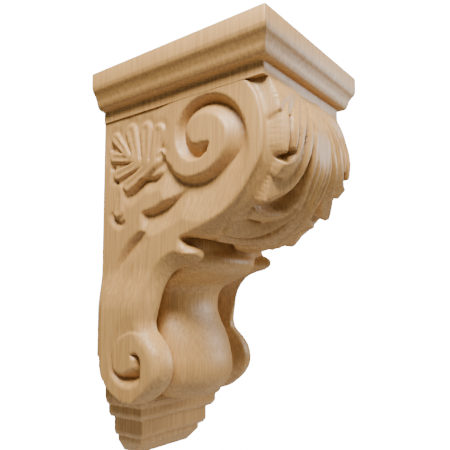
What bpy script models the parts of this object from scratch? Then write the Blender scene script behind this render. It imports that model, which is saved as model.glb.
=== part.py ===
"""Acanthus corbel carved from one block of wood.

A moulded cap and a stepped foot hold a body with a large scroll above and a small one below
on each side, an acanthus leaf over the front of the large scroll, and a plain rounded trunk
between the lower scrolls. The back is flat and goes against a wall.

Sizes are millimetres and become metres when a mesh is made. Places on the body are written as
depth (from the wall to the front) and drop (down from the top face). Side relief is written as
half a width: the distance from the middle plane to the carved side face.
"""
import math

import bmesh
import bpy
import numpy as np
from mathutils import Vector
from mathutils.geometry import delaunay_2d_cdt

MM = 0.001
HEIGHT = 356.0
CAP_HALF_WIDTH = 81.5
CAP_DEPTH = 194.5
FRONT_INSET_SHARE = 0.8      # the mouldings step in less at the front than at the sides

# The shapes run on behind the wall plane by these much before the back is trimmed flat
BODY_BACK = -2.0
CAP_BACK = -3.0
FOOT_BACK = -4.0

# Widths of the side face, from the middle plane
FIELD = 63.6                 # plain ground between the carvings
BAND = 65.9                  # face of the large scroll, level with the cap's fillet
EYE_FACE = 72.4              # face of the small scroll, which stands out
UNDER_SCROLL = 54.0          # behind the small scroll, inside the foot

# Fineness of the carved surfaces
ROW_STEP = 7.0               # between points along an edge of the carving
SIDE_GRID = 11.0             # between points on open ground
LEAF_GRID = 8.0

# Cap moulding: inset from the cap's face, drop
CAP_PROFILE = [(1.4, 0.0), (0.0, 1.6), (0.0, 14.0), (1.0, 17.5), (3.6, 21.2), (5.6, 25.0), (7.2, 30.0),
               (9.0, 32.8), (11.8, 34.0), (15.8, 34.4), (15.8, 44.9)]

# Foot: half width, depth, drop
FOOT_PROFILE = [(58.0, 48.0, 288.0), (58.0, 48.0, 303.0), (56.6, 46.6, 307.5), (53.6, 43.6, 310.6),
                (53.5, 43.0, 311.6), (53.5, 43.0, 317.0), (51.5, 41.0, 320.6), (47.0, 36.8, 323.0),
                (46.2, 36.2, 324.0), (46.2, 36.2, 335.5), (44.8, 34.6, 338.4), (42.0, 31.0, 340.4),
                (41.2, 30.0, 341.2), (41.2, 30.0, 345.0), (33.5, 21.0, 356.0)]

# Front edge of the side scrolls, from the fillet over the drum and down to the foot:
# depth, drop, half width, radius that rounds it to the side face
FRONT_EDGE = [(157, 38, 63, 3), (165, 47.5, 63, 3), (172.5, 56, 63, 3), (178, 68, 63, 3), (181, 82, 63, 3),
              (181, 95, 63, 3), (178, 109, 63, 3), (170, 122, 63, 3), (161, 134, 63, 3), (147, 146, 63, 3),
              (127, 155, 63, 3), (108, 161, 62, 3), (99, 166, 61, 3), (101, 172, 60, 4), (102, 180, 60, 5),
              (99.5, 188, 60, 6), (92, 193, 59, 8), (81, 198, 58, 10), (71.5, 207, 57, 12), (66, 217, 57, 13),
              (63, 228, 56.5, 13), (63.5, 238, 56, 12), (69, 246, 54.5, 12), (77.5, 252.5, 53.5, 14),
              (83.5, 260, 53, 16), (85.5, 268, 53, 17), (84, 277, 53, 17), (79.5, 286, 53, 14),
              (72, 294, 53, 10), (62, 300.5, 53.5, 6), (52, 305, 54, 3), (43, 306, 54, 1)]

# Large scroll: its eye, then along the turn, in degrees from the front, the outer edge of the
# inner turn, the inner edge of the outer turn, where the groove between is deepest (as a share
# of its width) and how deep it is there
LARGE_EYE = (120.0, 84.0)
LARGE_TURN = [(-225, 44.0, 52.0, 0.40, 0.0), (-180, 41.0, 50.0, 0.35, 3.0), (-135, 35.4, 60.0, 0.20, 6.5),
              (-90, 28.6, 68.0, 0.14, 7.5), (-45, 26.3, 58.0, 0.22, 7.5), (0, 26.0, 46.3, 0.62, 8.5),
              (45, 23.1, 40.6, 0.66, 8.0), (90, 22.0, 36.8, 0.64, 7.5), (135, 19.7, 33.0, 0.62, 7.0),
              (180, 9.5, 27.0, 0.60, 7.5), (225, 3.0, 21.0, 0.70, 8.5), (270, 1.5, 15.0, 0.75, 9.5),
              (315, 4.0, 11.0, 0.70, 9.0), (340, 8.4, 9.6, 0.50, 2.0)]

# Small scroll, in the same way
SMALL_EYE = (50.0, 268.0)
SMALL_TURN = [(60, 22.5, 40.0, 0.05, 0.0), (90, 24.0, 46.0, 0.06, 2.4), (135, 25.5, 42.0, 0.10, 3.0),
              (180, 22.0, 32.5, 0.25, 3.0), (207, 17.5, 27.5, 0.35, 5.0), (225, 11.0, 25.6, 0.45, 7.0),
              (270, 5.0, 21.0, 0.50, 9.0), (313, 5.0, 16.3, 0.55, 10.0), (350, 4.0, 11.0, 0.60, 11.0),
              (400, 4.0, 9.0, 0.60, 10.0), (425, 7.0, 8.0, 0.50, 2.0)]
SMALL_DISC_CENTRE = (46.5, 266.0)
SMALL_DISC_BACK = 42.0
SMALL_DISC_RADIUS = 37.5
SWELL_START = 186.0
SWELL_END = 224.0

# Stop cuts: depth and drop along the crisp edge, then the depth of the cut there
TONGUE_CUT = [(51.6, 136, 2.0), (61, 135, 4.5), (79, 130, 5.0), (92, 122, 5.5), (101, 114, 5.5)]
NECK_CUT = [(62, 152, 0.0), (48, 155, 2.2), (38, 162, 3.2), (29, 172, 3.4), (21, 184, 3.0), (16, 200, 1.6),
            (14, 216, 0.0)]

# Side sprig: fingers as root depth, root drop, tip depth, tip drop, radius
SPRIG = [(84, 98, 58, 95, 9.0), (52, 94, 33, 60, 6.5), (61, 90, 53, 61, 7.0), (71, 92, 73, 66, 6.5),
         (34, 84, 16, 63, 5.2), (40, 90, 14, 83, 5.0), (46, 97, 17, 97, 5.0), (58, 99, 29, 110, 5.5),
         (24, 118, 17, 142, 6.8)]
SPRIG_GROUND = 3.4           # how far the ground sinks beside the fingers
SPRIG_SPREAD = 10.0          # how far that sunk ground reaches

# Trunk between the small scrolls: depth of its crest, drop, half width
TRUNK = [(96, 168, 40), (106, 174, 41), (109, 181, 41), (107, 189, 41), (96, 196, 40), (84, 202, 38), (76, 210, 37),
         (72.5, 221, 36.5), (76, 234, 38), (83, 246, 41), (89, 258, 44), (92.5, 270, 45), (92, 280, 45),
         (87, 289, 43), (78, 297, 40), (62, 303, 36)]
TRUNK_BACK = 30.0
TRUNK_SHARE = 0.26           # how much of the crest's depth is the rounded part

# Acanthus leaf, as lift off the drum: along the drum, at the middle and near the edge
LEAF_LIFT = [(0, 0.0, 0.0), (14, 8.0, 5.0), (34, 15.0, 9.0), (62, 19.0, 12.0), (95, 20.5, 12.5), (130, 19.0, 11.5),
             (158, 14.0, 8.5), (176, 9.0, 5.0), (188, 3.0, 1.0)]
LEAF_END = 188.0
# Lobes: root across, root along, tip across, tip along, half width
LOBES = [(14, 8, 44, 34, 9.0), (14, 18, 56, 74, 13.0), (12, 34, 36, 64, 9.0), (12, 44, 58, 104, 12.0),
         (12, 84, 56, 150, 12.0), (10, 110, 36, 172, 10.0), (0, 100, 2, 186, 14.0)]
SPINE_HALF_WIDTH = 15.0


def smooth(t):
    t = np.clip(t, 0.0, 1.0)
    return t * t * (3.0 - 2.0 * t)


def table(rows, keys, column):
    """Read a column of a table at any key, as a smooth curve through its rows."""
    rows = np.asarray(rows, float)
    key, value = rows[:, 0], rows[:, column]
    slope = np.gradient(value, key)
    at = np.clip(keys, key[0], key[-1])
    i = np.clip(np.searchsorted(key, at, side="right") - 1, 0, len(key) - 2)
    span = key[i + 1] - key[i]
    t = (at - key[i]) / span
    rise = (2 * t**3 - 3 * t**2 + 1) * value[i] + (3 * t**2 - 2 * t**3) * value[i + 1]
    return rise + span * ((t**3 - 2 * t**2 + t) * slope[i] + (t**3 - t**2) * slope[i + 1])


def spline(points, step):
    """A smooth curve through the points, read at about even steps."""
    points = np.asarray(points, float)
    reach = np.linalg.norm(np.diff(points[:, :2], axis=0), axis=1)
    along = np.concatenate([[0.0], np.cumsum(reach)])
    keyed = np.column_stack([along, points])
    at = np.linspace(0.0, along[-1], max(2, int(round(along[-1] / step)) + 1))
    return np.column_stack([table(keyed, at, column) for column in range(1, keyed.shape[1])])


def edge_table():
    """The front edge keyed by the distance along it."""
    fine = spline(FRONT_EDGE, 0.5)
    reach = np.linalg.norm(np.diff(fine[:, :2], axis=0), axis=1)
    along = np.concatenate([[0.0], np.cumsum(reach)])
    return np.column_stack([along, fine])


EDGE = edge_table()
EDGE_LENGTH = EDGE[-1, 0]


def edge_at(along):
    """Depth, drop, half width and rounding of the front edge, and its outward direction."""
    values = [np.interp(along, EDGE[:, 0], EDGE[:, column]) for column in range(1, 5)]
    ahead = [np.interp(along + 1.5, EDGE[:, 0], EDGE[:, column]) for column in (1, 2)]
    behind = [np.interp(along - 1.5, EDGE[:, 0], EDGE[:, column]) for column in (1, 2)]
    run, fall = ahead[0] - behind[0], ahead[1] - behind[1]
    length = np.hypot(run, fall)
    return (*values, fall / length, -run / length)


def to_path(depth, drop, path):
    """Distance to a path, the side it is on (positive on its right) and the nearest place on it."""
    path = np.asarray(path, float)
    start, step = path[:-1, :2], np.diff(path[:, :2], axis=0)
    x = depth[:, None] - start[:, 0]
    y = drop[:, None] - start[:, 1]
    share = np.clip((x * step[:, 0] + y * step[:, 1]) / (step**2).sum(axis=1), 0.0, 1.0)
    off_x, off_y = x - share * step[:, 0], y - share * step[:, 1]
    distance = np.hypot(off_x, off_y)
    nearest = distance.argmin(axis=1)
    pick = np.arange(len(depth))
    side = step[nearest, 0] * off_y[pick, nearest] - step[nearest, 1] * off_x[pick, nearest]
    return distance[pick, nearest], np.sign(side), nearest + share[pick, nearest]


def groove(share, deepest):
    """A cut that falls to its deepest place and rises again, across shares from 0 to 1."""
    fall = np.clip(share / deepest, 0.0, 1.0)
    rise = np.clip((1.0 - share) / (1.0 - deepest), 0.0, 1.0)
    return np.where((share > 0) & (share < 1), np.minimum(fall, rise), 0.0)


def scroll_cut(depth, drop, eye, turn):
    """Depth of a scroll's groove."""
    out = depth - eye[0]
    up = eye[1] - drop
    radius = np.hypot(out, up)
    angle = np.degrees(np.arctan2(up, out))
    cut = np.zeros_like(depth)
    for winding in (-360.0, 0.0, 360.0):
        at = angle + winding
        inner, outer = table(turn, at, 1), table(turn, at, 2)
        share = (radius - inner) / (outer - inner)
        here = groove(share, table(turn, at, 3)) * table(turn, at, 4)
        inside = (at >= turn[0][0]) & (at <= turn[-1][0])
        cut = np.maximum(cut, np.where(inside, here, 0.0))
    return cut


def stop_cut(depth, drop, path, wall, run, side):
    """A steep wall on one side of a path and a long slope back up beyond it."""
    distance, turn, place = to_path(depth, drop, path)
    deep = np.interp(place, np.arange(len(path)), [point[2] for point in path])
    share = np.where(turn * side > 0, distance, 0.0) / run
    ends = (place > 0.0) & (place < len(path) - 1)
    return np.where(ends, groove(share, wall / run) * deep, 0.0)


def sprig_relief(depth, drop):
    """Height of the side sprig over the field: domed fingers in sunk ground."""
    height = np.full_like(depth, -SPRIG_GROUND)
    outside = np.full_like(depth, 1e3)
    for root_depth, root_drop, tip_depth, tip_drop, radius in SPRIG:
        path = [(root_depth, root_drop), (tip_depth, tip_drop)]
        distance = to_path(depth, drop, path)[0]
        dome = np.sqrt(np.clip(1.0 - (distance / radius)**2, 0.0, 1.0))
        height = np.maximum(height, np.where(distance < radius, 3.0 * dome - 2.4, -SPRIG_GROUND))
        outside = np.minimum(outside, distance - radius)
    return height * np.where(outside < 0, 1.0, 1.0 - smooth(outside / SPRIG_SPREAD))


def side_face(depth, drop):
    """Half the body's width at a place on its side."""
    depth, drop = np.asarray(depth, float), np.asarray(drop, float)
    to_eye = np.hypot(np.where(depth > LARGE_EYE[0], 0.5, 1.0) * (depth - LARGE_EYE[0]),
                      np.where(drop > LARGE_EYE[1], 0.8, 1.0) * (drop - LARGE_EYE[1]))
    face = FIELD + (BAND - FIELD) * smooth((64.0 - to_eye) / 18.0)
    swell = smooth((drop - SWELL_START) / (SWELL_END - SWELL_START))
    back = np.sqrt(np.clip(depth / 9.0, 0.0, 1.0))
    face += (EYE_FACE - FIELD) * swell * (0.5 + 0.5 * back)
    large = scroll_cut(depth, drop, LARGE_EYE, LARGE_TURN)
    tongue = stop_cut(depth, drop, TONGUE_CUT, 2.2, 26.0, 1)
    neck = stop_cut(depth, drop, NECK_CUT, 2.0, 24.0, -1)
    small = scroll_cut(depth, drop, SMALL_EYE, SMALL_TURN)
    face -= np.maximum.reduce([large, tongue, neck, small])
    face += sprig_relief(depth, drop)
    # the small scroll ends in a round edge that stands over the foot
    axis = np.where(depth < SMALL_DISC_CENTRE[0], SMALL_DISC_BACK, 60.0)
    reach = np.hypot((depth - SMALL_DISC_CENTRE[0]) / axis, (drop - SMALL_DISC_CENTRE[1]) / SMALL_DISC_RADIUS)
    beyond = np.where(drop > SMALL_DISC_CENTRE[1], (reach - 1.0) * SMALL_DISC_RADIUS / 2.6, 0.0)
    face -= (face - UNDER_SCROLL) * np.clip(beyond, 0.0, 1.0)
    # the front edge is rounded
    distance, _, place = to_path(depth, drop, EDGE[::4, 1:3])
    along = np.interp(place, np.arange(len(EDGE[::4])), EDGE[::4, 0])
    _, _, half_width, radius, _, _ = edge_at(along)
    bend = np.sqrt(np.clip(1.0 - (1.0 - np.clip(distance / radius, 0.0, 1.0))**2, 0.0, 1.0))
    return half_width + (face - half_width) * bend


def leaf_lift(across, along):
    """Height of the acanthus leaf over the drum, across from the middle plane and along the drum."""
    middle, edge = table(LEAF_LIFT, along, 1), table(LEAF_LIFT, along, 2)
    level = middle + (edge - middle) * smooth(across / 58.0)
    inside = np.full_like(across, -1e3)
    crown = np.zeros_like(across)
    for root_x, root_s, tip_x, tip_s, half_width in LOBES:
        path = [(root_x, root_s), (tip_x, tip_s)]
        distance, _, place = to_path(across, along, path)
        width = half_width * (1.0 - 0.45 * place**3)
        depth_in = width - distance
        inside = np.maximum(inside, depth_in)
        crown = np.maximum(crown, 1.0 - np.clip(distance / width, 0.0, 1.0)**2)
    spine = SPINE_HALF_WIDTH * smooth((LEAF_END - along) / 30.0) - across
    inside = np.maximum(inside, spine)
    crown = np.where(spine > 0, np.maximum(crown, 0.8), crown)
    wall = np.clip(inside / 2.5 + 1.0, 0.0, 1.0)
    edge_room = np.clip((edge_at(along)[2] - 1.5 - across) / 2.5, 0.0, 1.0)
    return np.where(along < LEAF_END, level, 0.0) * wall * (0.72 + 0.28 * crown) * edge_room


def valley(across, along):
    """How far the ground behind the trunk sinks between the lower scrolls."""
    _, drop, half_width, _, _, _ = edge_at(along)
    under = smooth((drop - 166.0) / 16.0) * smooth((EDGE_LENGTH - 6.0 - along) / 20.0)
    return 11.0 * under * smooth((half_width - across) / 14.0)


def scroll_rows(eye, turn, shares):
    """Places along a scroll's groove, one row for each share of its width."""
    first, last = turn[0][0], turn[-1][0]
    rows = []
    for share in shares:
        row = []
        angle = first
        while angle <= last:
            inner, outer, deepest = (float(table(turn, np.array([angle]), column)[0]) for column in (1, 2, 3))
            where = deepest if share is None else share
            radius = inner + (outer - inner) * where
            turned = math.radians(angle)
            row.append((eye[0] + radius * math.cos(turned), eye[1] - radius * math.sin(turned)))
            angle += math.degrees(ROW_STEP / max(radius, 6.0))
        rows.append(row)
    return rows


def offset_row(path, distance):
    """The path moved sideways, to its right for a positive distance."""
    row = spline([point[:2] for point in path], ROW_STEP)
    run = np.gradient(row, axis=0)
    run /= np.linalg.norm(run, axis=1)[:, None]
    return row + distance * np.column_stack([-run[:, 1], run[:, 0]])


def finger_rows(root, tip, radius):
    """Points along a finger's middle and round its outline."""
    root, tip = np.array(root, float), np.array(tip, float)
    length = np.linalg.norm(tip - root)
    run = (tip - root) / length
    aside = np.array([-run[1], run[0]])
    count = max(2, int(length / ROW_STEP) + 1)
    rows = [[root + run * length * k / (count - 1) for k in range(count)]]
    outline = [root + aside * radius + run * length * k / (count - 1) for k in range(count)]
    for k in range(1, 4):
        bend = math.pi * k / 4
        outline.append(tip + aside * radius * math.cos(bend) + run * radius * math.sin(bend))
    outline += [root - aside * radius + run * length * k / (count - 1) for k in reversed(range(count))]
    return rows + [outline]


def triangulate(boundary, rows, grid, clearance):
    """Triangles over the inside of a boundary, with edges along the rows."""
    boundary = np.asarray(boundary, float)
    points = [tuple(point) for point in boundary]
    edges = [(i, (i + 1) % len(points)) for i in range(len(points))]
    closed = np.vstack([boundary, boundary[:1]])
    for row in rows:
        row = np.asarray(row, float)
        distance, side, _ = to_path(row[:, 0], row[:, 1], closed)
        keep = (side > 0) & (distance > clearance)
        last = None
        for point, kept in zip(row, keep):
            if kept:
                points.append(tuple(point))
                if last is not None:
                    edges.append((last, len(points) - 1))
            last = len(points) - 1 if kept else None
    low, high = boundary.min(axis=0), boundary.max(axis=0)
    filler = []
    for j, y in enumerate(np.arange(low[1], high[1], grid * 0.87)):
        for x in np.arange(low[0] + (j % 2) * grid / 2, high[0], grid):
            filler.append((x, y))
    filler = np.array(filler)
    distance, side, _ = to_path(filler[:, 0], filler[:, 1], closed)
    filler = filler[(side > 0) & (distance > grid * 0.5)]
    fixed = np.array(points)
    near = np.array([np.hypot(*(fixed - point).T).min() for point in filler])
    points += [tuple(point) for point in filler[near > grid * 0.6]]
    flat = [Vector(point) for point in points]
    out, _, faces, _, _, _ = delaunay_2d_cdt(flat, edges, [], 1, 1e-4)
    return np.array([(point.x, point.y) for point in out]), faces


def front_places():
    """Even places along the front edge, shared by the side and the front."""
    return np.linspace(0.0, EDGE_LENGTH, int(round(EDGE_LENGTH / ROW_STEP)) + 1)


def side_sheet():
    along = front_places()
    depth, drop, half_width = edge_at(along)[:3]
    top = [(x, FRONT_EDGE[0][1]) for x in np.linspace(BODY_BACK, depth[0], 10)[:-1]]
    foot = [(x, FRONT_EDGE[-1][1]) for x in np.linspace(depth[-1], BODY_BACK, 5)[1:]]
    back = [(BODY_BACK, y) for y in np.linspace(FRONT_EDGE[-1][1], FRONT_EDGE[0][1], 22)[1:-1]]
    boundary = top + list(zip(depth, drop)) + foot + back
    rows = scroll_rows(LARGE_EYE, LARGE_TURN, (0.0, None, 1.0))
    rows += scroll_rows(SMALL_EYE, SMALL_TURN, (0.0, None, 1.0))
    rows += [offset_row(TONGUE_CUT, 0.0), offset_row(TONGUE_CUT, 2.2)]
    rows += [offset_row(NECK_CUT, 0.0), offset_row(NECK_CUT, -2.0)]
    for gap in (0.0, 2.6):
        turned = np.radians(np.arange(182.0, 276.0, 8.0))
        rows.append(np.column_stack([
            SMALL_DISC_CENTRE[0] + (SMALL_DISC_BACK + gap) * np.cos(turned),
            SMALL_DISC_CENTRE[1] - (SMALL_DISC_RADIUS + gap) * np.sin(turned)]))
    for share in (0.35, 1.0):
        edge_depth, edge_drop, _, radius, out, down = edge_at(along)
        rows.append(np.column_stack([edge_depth - out * radius * share, edge_drop - down * radius * share]))
    for root_depth, root_drop, tip_depth, tip_drop, radius in SPRIG:
        rows += finger_rows((root_depth, root_drop), (tip_depth, tip_drop), radius)
    flat, faces = triangulate(boundary, rows, SIDE_GRID, 1.0)
    width = side_face(flat[:, 0], flat[:, 1])
    for edge_half, edge_depth, edge_drop in zip(half_width, depth, drop):
        shared = np.hypot(flat[:, 0] - edge_depth, flat[:, 1] - edge_drop).argmin()
        width[shared] = edge_half
    return np.column_stack([width, flat]), faces


def front_sheet():
    along = front_places()
    half_width = edge_at(along)[2]
    across_top = [(x, 0.0) for x in np.linspace(half_width[0], 0.0, 8)[1:]]
    middle = [(0.0, s) for s in np.arange(LEAF_GRID, EDGE_LENGTH - 1.0, LEAF_GRID)]
    across_foot = [(x, EDGE_LENGTH) for x in np.linspace(0.0, half_width[-1], 6)[:-1]]
    edge = [(x, s) for x, s in zip(half_width, along)][::-1]
    boundary = (across_top + middle + across_foot + edge)[::-1]
    rows = []
    for root_x, root_s, tip_x, tip_s, lobe_half in LOBES:
        for size in (0.62, 0.8):
            rows += finger_rows((root_x, root_s), (tip_x, tip_s), lobe_half * size)[1:]
        rows += finger_rows((root_x, root_s), (tip_x, tip_s), lobe_half)[:1]
    flat, faces = triangulate(boundary, rows, LEAF_GRID, 1.5)
    across, at = flat[:, 0], flat[:, 1]
    depth, drop, _, _, out, down = edge_at(at)
    lift = leaf_lift(across, at) - valley(across, at)
    return np.column_stack([across, depth + out * lift, drop + down * lift]), faces


def place(points):
    """Corbel places (half width, depth, drop) in metres, with the middle of the back at the origin."""
    points = np.asarray(points, float)
    return np.column_stack([points[:, 0], -points[:, 1], HEIGHT / 2 - points[:, 2]]) * MM


def new_object(name, mesh_builder, collection, material=None):
    mesh = bpy.data.meshes.new(name)
    mesh_builder.to_mesh(mesh)
    mesh_builder.free()
    thing = bpy.data.objects.new(name, mesh)
    collection.objects.link(thing)
    if material:
        mesh.materials.append(material)
    return thing


def add_sheet(builder, points, faces):
    corners = [builder.verts.new(point) for point in place(points)]
    for face in faces:
        if len(set(face)) > 2:
            builder.faces.new([corners[i] for i in face])
    return corners


def close_flat(builder, axis, level):
    """Fill the flat opening whose border lies at a level on an axis, up to the middle plane."""
    border = [edge for edge in builder.edges if edge.is_boundary
              and all(abs(vert.co[axis] - level) < 1e-6 for vert in edge.verts)]
    ends = {}
    for edge in border:
        for vert in edge.verts:
            ends[vert] = ends.get(vert, 0) + 1
    loop_ends = [vert for vert, count in ends.items() if count == 1]
    middle = []
    for vert in loop_ends:
        if abs(vert.co.x) > 1e-7:
            corner = builder.verts.new((0.0, vert.co.y, vert.co.z))
            border.append(builder.edges.new((vert, corner)))
            middle.append(corner)
        else:
            middle.append(vert)
    border.append(builder.edges.new(middle))
    bmesh.ops.holes_fill(builder, edges=border, sides=0)


def body_object(collection, material):
    builder = bmesh.new()
    add_sheet(builder, *side_sheet())
    add_sheet(builder, *front_sheet())
    bmesh.ops.remove_doubles(builder, verts=builder.verts, dist=1e-6)
    z_top = (HEIGHT / 2 - FRONT_EDGE[0][1]) * MM
    z_foot = (HEIGHT / 2 - FRONT_EDGE[-1][1]) * MM
    close_flat(builder, 2, z_top)
    close_flat(builder, 2, z_foot)
    close_flat(builder, 1, -BODY_BACK * MM)
    bmesh.ops.remove_doubles(builder, verts=builder.verts, dist=1e-6)
    bmesh.ops.recalc_face_normals(builder, faces=builder.faces)
    body = new_object("corbel", builder, collection, material)
    mirror = body.modifiers.new("other half", "MIRROR")
    mirror.merge_threshold = 0.00005
    return body


def loft_object(name, sections, collection):
    """A closed solid through sections that have the same number of points."""
    builder = bmesh.new()
    rings = [[builder.verts.new(point) for point in place(section)] for section in sections]
    count = len(rings[0])
    for upper, lower in zip(rings, rings[1:]):
        for i in range(count):
            j = (i + 1) % count
            builder.faces.new((upper[i], upper[j], lower[j], lower[i]))
    builder.faces.new(rings[0])
    builder.faces.new(rings[-1])
    bmesh.ops.recalc_face_normals(builder, faces=builder.faces)
    thing = new_object(name, builder, collection)
    thing.hide_render = True
    thing.display_type = "WIRE"
    return thing


def box_section(half_width, back, depth, drop):
    return [(-half_width, back, drop), (-half_width, depth, drop), (half_width, depth, drop), (half_width, back, drop)]


def cap_sections():
    return [box_section(CAP_HALF_WIDTH - inset, CAP_BACK, CAP_DEPTH - inset * FRONT_INSET_SHARE, drop)
            for inset, drop in CAP_PROFILE]


def foot_sections():
    return [box_section(half_width, FOOT_BACK, depth, drop) for half_width, depth, drop in FOOT_PROFILE]


def trunk_sections():
    sections = []
    for crest, drop, half_width in spline(TRUNK, ROW_STEP):
        rounded = 12.0 + (crest - 70.0) * TRUNK_SHARE
        ring = [(half_width, TRUNK_BACK, drop)]
        for k in range(13):
            turned = math.pi * k / 12
            ring.append((half_width * math.cos(turned), crest - rounded + rounded * math.sin(turned), drop))
        ring.append((-half_width, TRUNK_BACK, drop))
        sections.append(ring)
    return sections


def combine(body, other, operation):
    change = body.modifiers.new(other.name, "BOOLEAN")
    change.operation = operation
    change.solver = "EXACT"
    change.object = other


def wall_object(collection):
    """What lies behind the wall plane, taken off to leave the back flat."""
    bpy.ops.mesh.primitive_cube_add(size=1.0)
    wall = bpy.context.object
    wall.name = "wall"
    wall.scale = (0.4, 0.04, 0.5)
    wall.location = (0.0, 0.02, 0.0)
    for holder in wall.users_collection:
        holder.objects.unlink(wall)
    collection.objects.link(wall)
    wall.hide_render = True
    wall.display_type = "WIRE"
    return wall


def wood():
    material = bpy.data.materials.new("carved wood")
    material.use_nodes = True
    shader = material.node_tree.nodes["Principled BSDF"]
    shader.inputs["Base Color"].default_value = (0.56, 0.38, 0.21, 1.0)
    shader.inputs["Roughness"].default_value = 0.5
    shader.inputs["Metallic"].default_value = 0.0
    return material


def main():
    for thing in list(bpy.data.objects):
        bpy.data.objects.remove(thing, do_unlink=True)
    scene = bpy.context.scene
    parts = bpy.data.collections.new("acanthus corbel")
    shapes = bpy.data.collections.new("joined shapes")
    scene.collection.children.link(parts)
    scene.collection.children.link(shapes)
    corbel = body_object(parts, wood())
    combine(corbel, loft_object("trunk", trunk_sections(), shapes), "UNION")
    combine(corbel, loft_object("cap", cap_sections(), shapes), "UNION")
    combine(corbel, loft_object("foot", foot_sections(), shapes), "UNION")
    combine(corbel, wall_object(shapes), "DIFFERENCE")


main()
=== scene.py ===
"""The look of the acanthus corbel: the carving at full fineness, its wood, a pale floor, soft
studio light and the camera.

Carving sizes are millimetres and become metres when a mesh is made. Places on the body are
written as depth (from the wall to the front) and drop (down from the top face). Side relief is
half a width: the distance from the middle plane to the carved side face. The leaf is written
as across (from the middle plane), along (down the front edge) and lift (off the drum).
"""
import math

import bmesh
import bpy
import numpy as np
from mathutils import Matrix, Vector, kdtree
from mathutils.geometry import delaunay_2d_cdt


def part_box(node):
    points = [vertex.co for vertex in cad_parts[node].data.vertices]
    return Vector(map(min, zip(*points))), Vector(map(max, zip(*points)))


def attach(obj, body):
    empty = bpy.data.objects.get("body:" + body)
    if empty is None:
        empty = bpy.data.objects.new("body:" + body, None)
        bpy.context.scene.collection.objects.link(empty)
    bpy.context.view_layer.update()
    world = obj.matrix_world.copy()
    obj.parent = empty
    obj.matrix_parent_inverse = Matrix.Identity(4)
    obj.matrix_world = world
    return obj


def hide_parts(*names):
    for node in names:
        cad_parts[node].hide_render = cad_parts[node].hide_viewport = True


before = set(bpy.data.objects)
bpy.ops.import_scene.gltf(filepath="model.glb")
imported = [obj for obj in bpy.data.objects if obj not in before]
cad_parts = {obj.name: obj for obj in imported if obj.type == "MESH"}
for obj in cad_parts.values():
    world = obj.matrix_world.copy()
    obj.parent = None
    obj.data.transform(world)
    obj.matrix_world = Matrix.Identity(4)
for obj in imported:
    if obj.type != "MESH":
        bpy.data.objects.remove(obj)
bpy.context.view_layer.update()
LOW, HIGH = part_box("corbel")

MM = 0.001
TOP = HIGH.z / MM
CAP_HALF_WIDTH = HIGH.x / MM
FRONT = -LOW.y / MM              # the leaf comes furthest forward
CAP_DEPTH = 194.5
FRONT_INSET_SHARE = 0.8          # the mouldings step in less at the front than at the sides

# Widths of the side face, from the middle plane
FIELD = 64.7                     # plain ground between the carvings
BAND = 65.9                      # face of the large scroll, level with the cap's fillet
EYE_FACE = 72.4                  # face of the small scroll, which stands out
UNDER_SCROLL = 54.0              # below the small scroll, inside the foot

# Where the side face goes from one of these widths to another
BAND_REACH = 64.0                # from the large scroll's eye to the end of its raised face
BAND_FADE = 18.0                 # run of the slope to the field
BAND_FORWARD = 0.5               # what a step in front of the eye counts towards that reach
BAND_BELOW = 0.8                 # and a step below it
SWELL_START = 186.0              # drop where the face begins to swell to the small scroll's
SWELL_END = 224.0
BACK_RUN = 9.0                   # depth over which the swell grows from the wall
BACK_SHARE = 0.5                 # share of it that is there at the wall

# Fineness of the carved surfaces
ROW_STEP = 1.2                   # between points along an edge of the carving
LEAST_RADIUS = 3.0               # of a scroll's turn, for the angle between its points
SIDE_GRID = 1.5                  # between points on open ground, at the side
FRONT_GRID = 1.0                 # and at the front
GRID_ROW = 0.87                  # height of a row of that ground, as a share of the grid
RIM_GAP = 0.5                    # how far its points keep from the outline, as such a share
ROW_GAP = 0.6                    # and from the carving's edges
SIDE_CLEARANCE = 0.25            # how far the carving's edges keep from the outline, at the side
FRONT_CLEARANCE = 0.5            # and at the front
EASE_ROUNDS = 2                  # how often the carved surface is eased, as sanding does
EASE_SHARE = 0.3                 # how far each point then moves towards its neighbours
MOULDING_STEP = 0.8              # between points along a moulding's curves
CORNER_POINTS = 5                # around a moulding's rounded corner
SHARP_ANGLE = 40.0               # degrees between faces from which an edge looks crisp

# How close two points are that count as one, in metres
WELD = 1e-6
MIDDLE_WELD = 1e-7
MIRROR_WELD = 5e-5
FLAT_WELD = 1e-4                 # in millimetres, where a surface is still flat

# Cap moulding, as inset from the cap's face and drop: straight runs and curves, in order
CAP_RUNS = [
    ("straight", [(1.6, 0.0), (0.5, 0.5), (0.0, 1.8), (0.0, 13.6)]),
    ("curve", [(0.1, 14.6), (1.0, 17.5), (3.6, 21.2), (5.6, 25.0), (7.2, 30.0), (9.0, 32.8),
               (11.6, 33.9)]),
    ("straight", [(12.0, 34.0), (15.4, 34.4), (15.8, 34.9), (15.8, 44.3), (15.3, 44.9)]),
]
CAP_CORNER = 1.6                 # rounding of the cap's upright corners

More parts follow.
